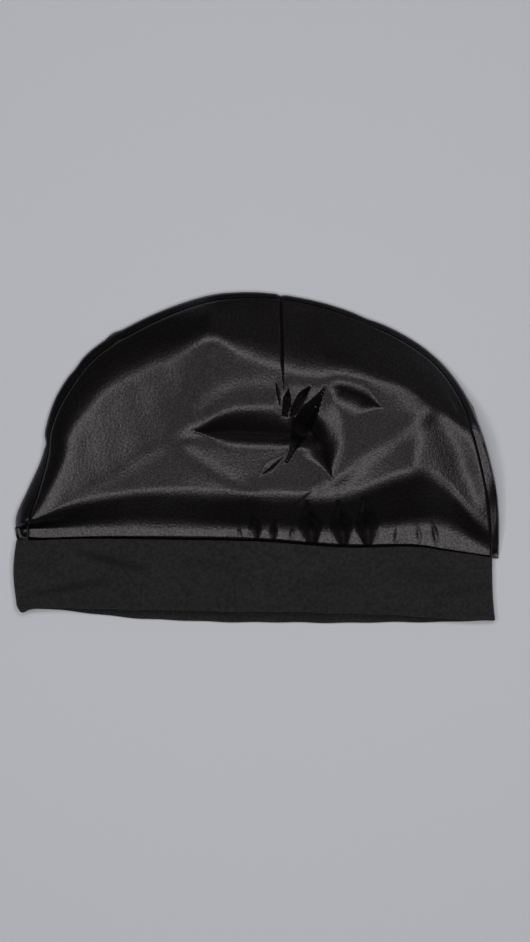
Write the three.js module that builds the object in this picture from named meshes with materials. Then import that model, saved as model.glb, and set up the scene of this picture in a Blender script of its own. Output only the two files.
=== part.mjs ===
// A satin skull cap with a wide jersey band, laid flat on its back.
// Three sewn pieces: crown_front (the satin panel that shows, with a dart at the top),
// crown_back (the satin panel underneath, which rolls up round the edge as far as the seam)
// and band (a loop of doubled jersey whose mouth takes the head).
// Millimetres. +X is to the wearer's side, +Y runs from the mouth to the top of the crown, +Z is up.
// The origin is the middle of the cap's footprint, on the surface it lies on.
import * as THREE from "three";

// ---- driving dimensions ----
const SATIN = 1.0; // wall of each crown panel
const JERSEY = 1.7; // wall of the band, two layers of jersey
const SEAM_GAP = 0.6; // between the two crown panels
const BAND_GAP = 1.0; // between the crown and the band
const SHOULDER_RISE = 14; // height that the crown reaches at the top of its side slopes
const DOME = { x: 42, y: 14, rise: 8.8, wide: 84, deep: 58 }; // what the middle adds to that
const UNDER_REACH = 7; // how far in from that line the back panel comes down to the surface
const UNDER_CORNER = 28; // how far in from the band's folds the underside's rows meet the band
const MOUTH_RISE = 10; // height of the band's front layer at the middle of the mouth
const FOLD_RISE = 5; // height of the flat-folded band at its two ends
const EDGE_RISE = FOLD_RISE / 2; // height of the crown's outermost line
const STRIP = 4; // flat strip of satin that runs along the band before the crown climbs

// ---- the crown's outline, clockwise from the foot at the left ----
// x, y: the outermost line. tuck: how far inside it the seam between the panels lies.
// reach: width of the slope from the outline to the top face. full: its shape, 1 is a straight ramp.
const EDGE_COLUMNS = ["x", "y", "tuck", "reach", "full"];
const EDGE = [
  { name: "left foot", x: -130, y: -43.6, tuck: 5, reach: 12, full: 1.25 },
  { name: "left ankle", x: -130.6, y: -32, tuck: 7.5, reach: 13, full: 1.25 },
  { name: "left hip", x: -124, y: -16, tuck: 6, reach: 13, full: 1.25 },
  { name: "left waist", x: -116.8, y: 1, tuck: 3, reach: 14, full: 1.25 },
  { name: "left rib", x: -114.4, y: 17, tuck: 3, reach: 17, full: 1.25 },
  { name: "left side", x: -106.5, y: 36.6, tuck: 4.5, reach: 21, full: 1.25 },
  { name: "left shoulder", x: -89, y: 57.7, tuck: 4.5, reach: 25, full: 1.25 },
  { name: "left brow", x: -60, y: 75, tuck: 4, reach: 28, full: 1.25 },
  { name: "left crown", x: -31, y: 86.7, tuck: 3.3, reach: 27, full: 1.25 },
  { name: "top", x: -9, y: 89.9, tuck: 3, reach: 34, full: 1.25 },
  { name: "dart head", x: 14, y: 88, tuck: 2, reach: 39, full: 1.25 },
  { name: "right crown", x: 42, y: 82, tuck: 2.4, reach: 38, full: 1.25 },
  { name: "right brow", x: 75, y: 69, tuck: 3, reach: 29, full: 1.25 },
  { name: "right shoulder", x: 97, y: 54, tuck: 3, reach: 22, full: 1.25 },
  { name: "right rib", x: 112, y: 36, tuck: 4, reach: 20, full: 1.25 },
  { name: "right side", x: 122.6, y: 15, tuck: 5.5, reach: 16, full: 1.25 },
  { name: "right hip", x: 128.8, y: -11, tuck: 6, reach: 13, full: 1.25 },
  { name: "right ankle", x: 131.6, y: -32, tuck: 5, reach: 12, full: 1.25 },
  { name: "right foot", x: 131.2, y: -53.4, tuck: 3.4, reach: 11, full: 1.25 },
];

// ---- the band, from its left fold to its right fold ----
// seam: where the satin joins it. frontHem, backHem: the folded lower edge of each layer.
// crest: where the crown has climbed to its top face above that point of the seam.
const BAND_COLUMNS = ["x", "seam", "frontHem", "backHem", "crest"];
const BAND = [
  { name: "left fold", x: -131.56, seam: -44, frontHem: -84, backHem: -84, crest: -36 },
  { name: "left corner", x: -118, seam: -44, frontHem: -82, backHem: -82.4, crest: -31 },
  { name: "left", x: -90, seam: -43.2, frontHem: -82, backHem: -85, crest: -17 },
  { name: "left middle", x: -52, seam: -43.6, frontHem: -82.6, backHem: -88.4, crest: -14 },
  { name: "middle", x: 0, seam: -44.6, frontHem: -83.4, backHem: -89.7, crest: -21 },
  { name: "right middle", x: 47, seam: -47.9, frontHem: -84.2, backHem: -89.9, crest: -22 },
  { name: "right", x: 84, seam: -47.5, frontHem: -86, backHem: -89.7, crest: -7 },
  { name: "right corner", x: 116, seam: -51.6, frontHem: -88.3, backHem: -89, crest: -27 },
  { name: "right fold", x: 129, seam: -53.7, frontHem: -89, backHem: -89, crest: -42 },
];

// ---- main folds of the front panel ----
// Each is a ridge (rise over 0) or a hollow along a curve from (x1, y1) past (x2, y2) to (x3, y3).
const FOLDS = [
  { name: "left crest", x1: -118, y1: -26, x2: -100, y2: 22, x3: -26, y3: 62, width: 10, rise: 1 },
  { name: "left low crest", x1: -112, y1: -24, x2: -84, y2: 0, x3: -47, y3: 9, width: 8, rise: 1 },
  { name: "inner crest", x1: -28, y1: 60, x2: -46, y2: 30, x3: -45, y3: 6, width: 8, rise: 1 },
  { name: "lower left crest", x1: -47, y1: 8, x2: -28, y2: -17, x3: 2, y3: -18, width: 8, rise: 1.5 },
  { name: "lower right crest", x1: 2, y1: -18, x2: 50, y2: -24, x3: 94, y3: 25, width: 8, rise: 1.5 },
  { name: "upper right crest", x1: 14, y1: 38, x2: 74, y2: 56, x3: 108, y3: 10, width: 9, rise: 1 },
  { name: "middle hollow", x1: -34, y1: 17, x2: -8, y2: 24, x3: 24, y3: 14, width: 9, rise: -7 },
  { name: "right hollow", x1: 28, y1: 24, x2: 38, y2: 10, x3: 44, y3: -6, width: 8, rise: -4 },
];
const FOLD_STEPS = 16; // points taken along each fold
const FOLD_SHARE = 4; // how strictly folds that meet share one height
const DART = { x: 13.6, yTop: 92, yTip: 38, width: 2.6, depth: 1.2 };

// ---- mesh resolution ----
const FRONT_GRID = { along: 44, up: 20 };
const BACK_GRID = { along: 44, roll: 8, under: 3 };
const BAND_GRID = { layer: 22, fold: 5, deep: 5 };
const OUTLINE_STEPS = 240;

// ---- helpers ----
const clamp01 = (t) => Math.min(Math.max(t, 0), 1);
const smooth = (t) => clamp01(t) ** 2 * (3 - 2 * clamp01(t));
const mix = (a, b, t) => a + (b - a) * t;
// Quarter of a rounded edge: 0 and steep at the edge, 1 and level from t = 1 on.
const shoulder = (t, full) => (1 - (1 - clamp01(t)) ** full) ** (1 / full);

// Every column of a table at t, 0 at its first row and 1 at its last, on a Catmull-Rom spline.
function atRow(rows, columns, t) {
  const at = clamp01(t) * (rows.length - 1);
  const i = Math.min(Math.floor(at), rows.length - 2);
  const f = at - i;
  const row = (k) => rows[Math.min(Math.max(k, 0), rows.length - 1)];
  const [a, b, c, d] = [row(i - 1), row(i), row(i + 1), row(i + 2)];
  const found = {};
  for (const key of columns) {
    const slopeB = (c[key] - a[key]) / 2;
    const slopeC = (d[key] - b[key]) / 2;
    const rest = c[key] - b[key];
    found[key] =
      b[key] + f * (slopeB + f * (3 * rest - 2 * slopeB - slopeC + f * (slopeB + slopeC - 2 * rest)));
  }
  return found;
}

// The band's columns at a given x, found by halving on the x column.
function bandAt(x) {
  let low = 0;
  let high = 1;
  for (let i = 0; i < 24; i++) {
    const middle = (low + high) / 2;
    if (atRow(BAND, ["x"], middle).x < x) low = middle;
    else high = middle;
  }
  return atRow(BAND, BAND_COLUMNS, (low + high) / 2);
}

// ---- the outline and the seam inside it ----
const edgeAt = (t) => atRow(EDGE, EDGE_COLUMNS, t);
function outwardAt(t) {
  const step = 1e-3;
  const before = edgeAt(t - step);
  const after = edgeAt(t + step);
  return new THREE.Vector2(before.y - after.y, after.x - before.x).normalize();
}
const outline = Array.from({ length: OUTLINE_STEPS + 1 }, (_, i) => {
  const t = i / OUTLINE_STEPS;
  const row = edgeAt(t);
  return { t, row, at: new THREE.Vector2(row.x, row.y) };
});

// Distance from a plan point to the outline, with the outline's columns at the nearest point.
function nearestEdge(x, y) {
  const p = new THREE.Vector2(x, y);
  let best = outline[0];
  for (const o of outline) if (o.at.distanceToSquared(p) < best.at.distanceToSquared(p)) best = o;
  return { distance: best.at.distanceTo(p), row: best.row };
}

// A plan point on the seam between the panels.
function seamAt(t) {
  const row = edgeAt(t);
  const out = outwardAt(t);
  return new THREE.Vector2(row.x - out.x * row.tuck, row.y - out.y * row.tuck);
}

// ---- heights ----
const LEFT_FOLD = BAND[0].x;
const RIGHT_FOLD = BAND[BAND.length - 1].x;
const acrossBand = (x) => clamp01((x - LEFT_FOLD) / (RIGHT_FOLD - LEFT_FOLD));
// Upper face of the band's front layer.
const bandHeight = (x) => mix(FOLD_RISE, MOUTH_RISE, Math.sin(Math.PI * acrossBand(x)) ** 0.8);

// Ridges that meet share one height instead of piling up, and so do hollows.
function foldHeight(x, y) {
  let ridges = 0;
  let hollows = 0;
  for (const f of FOLDS) {
    let nearest = Infinity;
    for (let i = 0; i <= FOLD_STEPS; i++) {
      const t = i / FOLD_STEPS;
      const [a, b, c] = [(1 - t) ** 2, 2 * t * (1 - t), t ** 2];
      const dx = x - (a * f.x1 + b * f.x2 + c * f.x3);
      const dy = y - (a * f.y1 + b * f.y2 + c * f.y3);
      nearest = Math.min(nearest, Math.hypot(dx, dy));
    }
    const height = Math.abs(f.rise) * Math.exp(-((nearest / f.width) ** 2));
    if (f.rise > 0) ridges += height ** FOLD_SHARE;
    else hollows += height ** FOLD_SHARE;
  }
  return ridges ** (1 / FOLD_SHARE) - hollows ** (1 / FOLD_SHARE);
}

function dartHeight(x, y) {
  const along = smooth((y - DART.yTip) / 20) * smooth((DART.yTop - y) / 8);
  return -DART.depth * along * Math.exp(-Math.abs(x - DART.x) / DART.width);
}

// Upper face of the crown over a plan point.
function crownHeight(x, y) {
  const { distance, row } = nearestEdge(x, y);
  const side = shoulder(distance / row.reach, row.full);
  const middle = Math.exp(-(((x - DOME.x) / DOME.wide) ** 2) - ((y - DOME.y) / DOME.deep) ** 2);
  const top = SHOULDER_RISE + DOME.rise * middle + foldHeight(x, y) + dartHeight(x, y);
  const dome = mix(EDGE_RISE, top, side);
  const band = bandAt(x);
  const foot = bandHeight(x) * shoulder(distance / FOLD_RISE, 2);
  const climb = smooth((y - band.seam - STRIP) / Math.max(band.crest - band.seam - STRIP, 4));
  return mix(Math.min(foot, dome), dome, climb);
}

function crownNormal(x, y) {
  const step = 0.4;
  const slopeX = (crownHeight(x + step, y) - crownHeight(x - step, y)) / (2 * step);
  const slopeY = (crownHeight(x, y + step) - crownHeight(x, y - step)) / (2 * step);
  return new THREE.Vector3(-slopeX, -slopeY, 1).normalize();
}

// ---- a closed wall from a grid of points on its outer face ----
// face(i, j) gives a point for i in 0..across and j in 0..deep. The wall grows inwards, along
// facing(i, j) where that gives a direction and square to the faces where it doesn't.
function wall(face, across, deep, thickness, closed, facing = () => null) {
  const columns = closed ? across : across + 1;
  const outer = [];
  for (let i = 0; i < columns; i++) for (let j = 0; j <= deep; j++) outer.push(face(i, j));
  const index = (i, j) => (i % columns) * (deep + 1) + j;
  const faces = [];
  for (let i = 0; i < across; i++)
    for (let j = 0; j < deep; j++) {
      const [a, b, c, d] = [index(i, j), index(i + 1, j), index(i + 1, j + 1), index(i, j + 1)];
      faces.push([a, b, c], [a, c, d]);
    }
  const normals = outer.map(() => new THREE.Vector3());
  const edge1 = new THREE.Vector3();
  const edge2 = new THREE.Vector3();
  for (const [a, b, c] of faces) {
    edge1.subVectors(outer[b], outer[a]);
    edge2.subVectors(outer[c], outer[a]);
    const normal = edge1.clone().cross(edge2);
    for (const k of [a, b, c]) normals[k].add(normal);
  }
  for (let i = 0; i < columns; i++)
    for (let j = 0; j <= deep; j++) normals[index(i, j)] = facing(i, j) ?? normals[index(i, j)];
  const inner = outer.map((p, k) => p.clone().addScaledVector(normals[k].normalize(), -thickness));
  const n = outer.length;
  const all = [...faces];
  for (const [a, b, c] of faces) all.push([a + n, c + n, b + n]);
  const rim = (a, b) => all.push([b, a, a + n], [b, a + n, b + n]);
  for (let i = 0; i < across; i++) {
    rim(index(i, 0), index(i + 1, 0));
    rim(index(i + 1, deep), index(i, deep));
  }
  if (!closed)
    for (let j = 0; j < deep; j++) {
      rim(index(0, j + 1), index(0, j));
      rim(index(across, j), index(across, j + 1));
    }
  const geometry = new THREE.BufferGeometry();
  const positions = [...outer, ...inner].flatMap((p) => [p.x, p.y, p.z]);
  geometry.setAttribute("position", new THREE.Float32BufferAttribute(positions, 3));
  geometry.setIndex(all.flat());
  geometry.computeVertexNormals();
  return geometry;
}

// ---- crown_front ----
// A patch with four sides: the band seam, a stretch of the perimeter seam up each side, and the
// rest of the perimeter seam over the top. The grid follows the grain of the cloth.
const LEFT_TURN = 3.4 / (EDGE.length - 1); // where the left side ends and the top begins
const RIGHT_TURN = 15.2 / (EDGE.length - 1);

function insideSeam(t) {
  const seam = seamAt(t);
  return seam.addScaledVector(outwardAt(t), -SEAM_GAP);
}

function frontPlan(u, v) {
  const leftFoot = insideSeam(0);
  const rightFoot = insideSeam(1);
  const bottom = (s) => {
    const x = mix(leftFoot.x, rightFoot.x, s);
    return new THREE.Vector2(x, mix(bandAt(x).seam, mix(leftFoot.y, rightFoot.y, s), (2 * s - 1) ** 8));
  };
  const left = (s) => insideSeam(LEFT_TURN * s);
  const right = (s) => insideSeam(mix(1, RIGHT_TURN, s));
  const top = (s) => insideSeam(mix(LEFT_TURN, RIGHT_TURN, s));
  const at = new THREE.Vector2();
  at.addScaledVector(bottom(u), 1 - v).addScaledVector(top(u), v);
  at.addScaledVector(left(v), 1 - u).addScaledVector(right(v), u);
  at.addScaledVector(leftFoot, -(1 - u) * (1 - v)).addScaledVector(rightFoot, -u * (1 - v));
  return at.addScaledVector(left(1), -(1 - u) * v).addScaledVector(right(1), -u * v);
}

function frontFace(i, j) {
  const p = frontPlan(i / FRONT_GRID.along, j / FRONT_GRID.up);
  return new THREE.Vector3(p.x, p.y, crownHeight(p.x, p.y));
}

function frontFacing(i, j) {
  const p = frontPlan(i / FRONT_GRID.along, j / FRONT_GRID.up);
  return crownNormal(p.x, p.y);
}

// ---- crown_back ----
// From the seam out over the roll to the outermost line, under it to the surface, and in across
// the flat underside to the band.
function backFace(i, j) {
  const t = i / BACK_GRID.along;
  const { x, y, tuck } = edgeAt(t);
  const out = outwardAt(t);
  const roll = BACK_GRID.roll;
  if (j <= roll) {
    // From a quarter turn before the outermost line, at the seam, to one after it, on the surface.
    const turn = mix(-Math.PI / 2, Math.PI / 2, j / roll);
    const inward = (turn < 0 ? tuck : UNDER_REACH) * (1 - Math.cos(turn));
    const px = x - out.x * inward;
    const py = y - out.y * inward;
    const height = turn < 0 ? crownHeight(px, py) : EDGE_RISE * (1 - Math.sin(turn));
    return new THREE.Vector3(px, py, height);
  }
  const s = (j - roll) / BACK_GRID.under;
  const landing = new THREE.Vector2(x - out.x * UNDER_REACH, y - out.y * UNDER_REACH);
  const footX = mix(LEFT_FOLD + UNDER_CORNER, RIGHT_FOLD - UNDER_CORNER, t);
  return new THREE.Vector3(mix(landing.x, footX, s), mix(landing.y, bandAt(footX).seam, s), 0);
}

// The wall's rim at the seam is square to the crown, so that it faces the front panel's rim.
function backFacing(i, j) {
  if (j > 0) return null;
  const seam = backFace(i, 0);
  return crownNormal(seam.x, seam.y);
}

// ---- band ----
// The loop starts at the left end of the front layer, turns under the left fold, runs along the
// flat back layer and comes back over the right fold. FOLD_LEAN says how its two ends curve.
const FOLD_LEAN = { left: 1, bow: 1.4, right: 1.2, flare: 1.6 };
const leftEnd = (v) => LEFT_FOLD + FOLD_LEAN.left - FOLD_LEAN.bow * Math.sin(Math.PI * v);
const rightEnd = (v) => RIGHT_FOLD - FOLD_LEAN.right + FOLD_LEAN.flare * v ** 3;

function bandFace(i, j) {
  const { layer, fold, deep } = BAND_GRID;
  const v = j / deep;
  const left = leftEnd(v);
  const right = rightEnd(v);
  const round = FOLD_RISE / 2;
  const around = 2 * (layer + fold);
  const k = (around - (i % around)) % around;
  let x;
  let z;
  let front; // 1 on the front layer, 0 on the back layer
  if (k <= layer) {
    const s = k / layer;
    x = mix(left + round, right - round, s);
    z = bandHeight(x);
    front = 1;
  } else if (k < layer + fold) {
    const turn = (Math.PI * (k - layer)) / fold;
    x = right - round + round * Math.sin(turn);
    z = mix(bandHeight(right - round), 0, (1 - Math.cos(turn)) / 2);
    front = (1 + Math.cos(turn)) / 2;
  } else if (k <= 2 * layer + fold) {
    x = mix(right - round, left + round, (k - layer - fold) / layer);
    z = 0;
    front = 0;
  } else {
    const turn = (Math.PI * (k - 2 * layer - fold)) / fold;
    x = left + round - round * Math.sin(turn);
    z = mix(0, bandHeight(left + round), (1 - Math.cos(turn)) / 2);
    front = (1 - Math.cos(turn)) / 2;
  }
  const row = bandAt(x);
  const hem = mix(row.backHem, row.frontHem, front);
  return new THREE.Vector3(x, mix(row.seam - BAND_GAP, hem, v), z);
}

// ---- assembly ----
const satin = new THREE.MeshStandardMaterial({ color: 0x1a191a, roughness: 0.38, metalness: 0 });
const jersey = new THREE.MeshStandardMaterial({ color: 0x232324, roughness: 0.95, metalness: 0 });

function piece(name, geometry, material) {
  const mesh = new THREE.Mesh(geometry, material);
  mesh.name = name;
  return mesh;
}

const cap = new THREE.Group();
cap.name = "skull_cap";
const frontWall = wall(frontFace, FRONT_GRID.along, FRONT_GRID.up, SATIN, false, frontFacing);
const backDeep = BACK_GRID.roll + BACK_GRID.under;
const backWall = wall(backFace, BACK_GRID.along, backDeep, SATIN, false, backFacing);
const bandAround = 2 * (BAND_GRID.layer + BAND_GRID.fold);
const bandWall = wall(bandFace, bandAround, BAND_GRID.deep, JERSEY, true);
cap.add(piece("crown_front", frontWall, satin));
cap.add(piece("crown_back", backWall, satin));
cap.add(piece("band", bandWall, jersey));

export default cap;
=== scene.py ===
import math
import random

import bpy
import numpy as np
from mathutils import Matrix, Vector


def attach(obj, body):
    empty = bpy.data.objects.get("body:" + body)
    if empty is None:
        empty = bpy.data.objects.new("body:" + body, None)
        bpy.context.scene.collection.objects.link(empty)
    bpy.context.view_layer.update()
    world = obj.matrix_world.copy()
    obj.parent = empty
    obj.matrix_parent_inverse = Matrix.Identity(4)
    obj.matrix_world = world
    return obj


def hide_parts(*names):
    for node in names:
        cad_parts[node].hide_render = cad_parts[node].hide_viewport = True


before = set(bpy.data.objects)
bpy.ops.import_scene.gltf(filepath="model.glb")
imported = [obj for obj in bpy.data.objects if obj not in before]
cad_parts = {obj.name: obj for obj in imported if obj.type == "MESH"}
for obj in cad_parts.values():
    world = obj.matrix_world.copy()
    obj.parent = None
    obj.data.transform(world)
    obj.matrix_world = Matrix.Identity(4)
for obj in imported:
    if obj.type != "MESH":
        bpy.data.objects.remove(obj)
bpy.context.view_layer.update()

# A satin skull cap with a wide jersey band, laid flat on its back panel. Tables and shapes are
# worked out in millimetres, and turned into metres when a mesh is made. The camera, the floor and
# the lamps are in metres.
MM = 0.001
SCENE = bpy.context.scene

# ---- camera ----
VIEW_HEIGHT = 0.5124  # stretch that the camera sees from top to bottom
CAP_LEVEL = 0.006  # height at which that stretch is measured
CAMERA_AT = Vector((0.0045, -0.0071, 1.4))
SENSOR = 36

camera_data = bpy.data.cameras.new("camera")
camera_data.sensor_width = SENSOR
camera_data.lens = SENSOR * (CAMERA_AT.z - CAP_LEVEL) / VIEW_HEIGHT
camera = bpy.data.objects.new("camera", camera_data)
camera.location = CAMERA_AT
SCENE.collection.objects.link(camera)
SCENE.camera = camera

# ---- heights and widths ----
TOP = 24.0  # height of the crown's highest part
NO_FACE = 5.0  # how far below that the cloth lies where no face is listed
SOFT = 3.3  # how far the creases between the crown's faces are eased
EDGE_RISE = 2.2  # height of the crown's outermost line, where nothing lifts it
ROLL = 1.2  # radius of that line
LIFTED_ROLL = 0.12  # and how much the radius grows with each millimetre of lift
LEAST_CREST = 10.0  # lowest face that the slope up from the edge is worked out for
SHOULDER = 7.0  # width of the strips where the top face leans, to the edge and to the band
SHOULDER_EASE = 1.0  # how softly they start
FOLD_RISE = 5.0  # height of the band at its two folds
MOUTH_RISE = 10.0  # height of the band's front layer at the middle of the mouth
MOUTH_POWER = 1.2  # 1 is an even arch between the two, more is a narrower one
SATIN_BELOW = 2.8  # how far below the band's front layer the satin meets it
STRIP_SLOPE = 0.19  # of the flat strip of satin along the band
STRIP_EASE = 1.2  # how softly that strip turns into the climb behind it
LEAST_CLIMB = 4.0  # shortest stretch for that climb
RIPPLE_POWER = 1.2  # 1 is a ripple with straight sides, more is a hollow one
RIPPLE_END = 0.1  # how far into its rise a ripple is at each of its ends
SEAM_GAP = 0.6  # from the front panel's rim to the edge seam
BAND_GAP = 0.8  # from the band's upper rim to its seam
LEAST_WALL = 0.15  # share of its width that a crease's wall keeps where the crease is shallow
CREASE_TIP = 0.01  # share of a sharp crease, at each end, that the mesh doesn't follow
SEED = 7  # of the slow waves
WAVES = 14
WAVE_LENGTHS = (14, 46)
WAVE_TILT = 0.0009  # height of a wave for each millimetre of its length
PITCH = 0.5  # of the grid that heights are worked out on
GRID_X = np.arange(-150, 150, PITCH)
GRID_Y = np.arange(-70, 110, PITCH)
EDGE_STEPS = 480  # straight stretches that each line is cut into
SEAM_STEPS = 360
BAND_STEPS = 240
CREASE_STEPS = 32

# The crown's outline, clockwise from the foot at the left. tuck: how far inside it the seam
# lies. reach: width of the slope up to the top face. ease: how softly that slope ends. lift: how
# much higher than EDGE_RISE the edge stands. lean: how much the strip along the slope's end leans.
EDGE_COLUMNS = ("x", "y", "tuck", "reach", "ease", "lift", "lean")
EDGE = [
    ("left foot", -130.5, -43.6, 5, 10, 2, 0, 0.14),
    ("left ankle", -131.2, -32, 7.5, 11, 2.5, 0, 0.14),
    ("left hip", -124.3, -16, 6, 10.5, 5, 0, 0.14),
    ("left waist", -117, 1, 3, 10, 7, 0, 0.14),
    ("left rib", -115, 17, 3, 11, 8, 0, 0.14),
    ("left side", -107.5, 37, 4.5, 15, 9, 0, 0.14),
    ("left shoulder", -90.2, 58.8, 4.5, 19, 10, 0, 0.14),
    ("left brow", -61, 76.2, 4, 22, 10, 0, 0.14),
    ("left crown", -31.2, 87.4, 3.3, 21, 9, 0, 0.14),
    ("top", -9, 90.4, 3, 32, 7, 0, 0.14),
    ("dart head", 14, 89, 2, 38, 6, 0, 0.14),
    ("right crown", 42.4, 82.8, 2.4, 37, 8, 0, 0.14),
    ("right brow", 75.5, 69.7, 3, 26, 9, 0, 0.14),
    ("right shoulder", 97.8, 54.7, 3, 20, 8, 0, 0.12),
    ("right rib", 112.8, 36.5, 4, 18.5, 7, 3.5, 0.06),
    ("right side", 122.6, 15, 5.5, 11, 4, 10.6, 0),
    ("right hip", 129.7, -11, 6, 8, 3, 9.2, 0),
    ("right ankle", 132.1, -32, 5, 7.5, 2.5, 4.6, 0),
    ("right foot", 131.9, -53.4, 3.4, 7, 2.5, 0.5, 0),
]

# The band, from its left fold to its right fold. seam: where the satin joins it. front hem and
# back hem: the folded lower edge of each layer. crest: where the crown has climbed to its top face.
# ease: how softly that climb ends. lean: how much the face leans there. strip: how far up from the
# seam the satin lies nearly flat.
BAND_COLUMNS = ("x", "seam", "front hem", "back hem", "crest", "ease", "lean", "strip")
BAND = [
    ("left fold", -131.56, -44, -79.5, -79.5, -36, 3, 0, 5),
    ("left knob", -128, -44, -84.2, -84.4, -35.5, 3, 0, 5.2),
    ("left corner", -120, -44, -82.0, -82.2, -31, 3, 0, 5.4),
    ("left", -90, -43.2, -82, -85, -18.5, 3, 0, 5),
    ("left middle", -52, -43.6, -82.6, -88.4, -14, 3, 0.05, 5),
    ("middle", 0, -44.6, -83.4, -89.7, -18, 3, 0.18, 5),
    ("right middle", 47, -47.9, -84.2, -89.9, -16.5, 3, 0.16, 6),
    ("right", 84, -47.5, -86, -89.7, -3.5, 4, 0.1, 8),
    ("far right", 102, -49.7, -87.2, -89.4, -10, 4, 0.03, 8),
    ("right corner", 116, -51.6, -88.3, -89, -25, 4, 0, 6),
    ("right fold", 129, -53.7, -89, -89, -36, 4, 0, 1.5),
]

# Ripples in the band's front layer, each from (x1, y1) to (x2, y2).
RIPPLE_COLUMNS = ("x1", "y1", "x2", "y2", "depth", "width")
RIPPLES = [
    (-97, -51.5, -58, -61.5, 3.2, 3.4),
    (-124, -75, -80, -66.5, 2.4, 3.2),
    (-40, -56, -12, -60, 1.2, 4.0),
    (20, -70, 60, -66, 1.0, 4.4),
    (70, -62, 108, -66, 1.2, 4.4),
    (95, -76, 124, -70, 1.1, 3.6),
    (-128, -56, -112, -62, 1.2, 3.6),
]

# Nicks in the rolled edge, and bumps where the depth is less than 0.
NICK_COLUMNS = ("x", "y", "depth", "width")
NICKS = [
    (13, 89, 0.8, 1.4),
    (-78, 67, -1.0, 3.5),
    (-114.5, 8, 1.2, 3.5),
    (-98, 48, 0.7, 5),
    (60, 77, 0.5, 6),
    (117, 27, -0.6, 5),
]

# Corners of the top's flat faces: x, y and how far below the highest part they lie.
CORNERS = {
    "left corner": (-124, -40, 12.8),
    "out left": (-140, 30, 15.4),
    "out upper left": (-85, 90, 11.3),
    "out top": (-24, 105, 4.5),
    "out upper right": (40, 105, 5),
    "out right": (110, 80, 8),
    "out far right": (145, 10, 14),
    "out low right": (140, -60, 17),
    "low left": (-124, -60, 12),
    "low mid left": (-60, -60, 6),
    "low mid": (0, -60, 3),
    "low mid right": (50, -60, 1.5),
    "low right": (95, -60, 3),
    "fan": (-44, 10, 4.6),
    "peak": (-24, 66, 3.2),
    "inner low": (-36, 33.5, 3.8),
    "lap foot": (-14, -11.4, 3.2),
    "low bend": (-1, -18, 3.0),
    "low middle": (18, -15.4, 2.8),
    "low right bend": (40, -16.8, 2.2),
    "rise 1": (56, -3, 0),
    "rise 2": (73, 7.7, -1.2),
    "rise 3": (89, 18.6, -0.8),
    "rise 4": (98, 27, 1.4),
    "hollow tip": (-34.7, 14, 4.6),
    "hollow middle": (-12, 9, 5.9),
    "hollow end": (14, 8, 6.1),
    "wall 1": (-25, 19.6, 3.0),
    "wall 2": (-11.6, 23.7, 2.4),
    "wall 3": (13, 26, 2.2),
    "arch 0": (-40, 24, 4.4),
    "arch 1": (-25, 33.5, 3.2),
    "arch 2": (-11.6, 40.3, 2.6),
    "arch 3": (2, 41.5, 2.2),
    "dart tip": (14, 38.5, 1.8),
    "brow 1": (-3.4, 54, 2.4),
    "brow 2": (9, 50, 2.0),
    "brow 3": (21, 44, 1.6),
    "brow 4": (40, 48.5, 1.0),
    "brow 5": (54, 49, 0.2),
    "brow 6": (73, 45.5, 1.6),
    "brow 7": (92, 38, 3.4),
    "fold head": (37, 36, 1.0),
    "fold middle": (29, 22, 3.5),
    "fold low": (19, 2, 4.1),
    "fold foot": (4, -12, 2.9),
    "pocket top": (43, 24, 0.8),
    "pocket side": (45, 8, 0.6),
    "right low": (84, -4, -2.2),
    "right out": (112, 8, 6.4),
    "right foot": (124, -28, 10.8),
}

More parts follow.
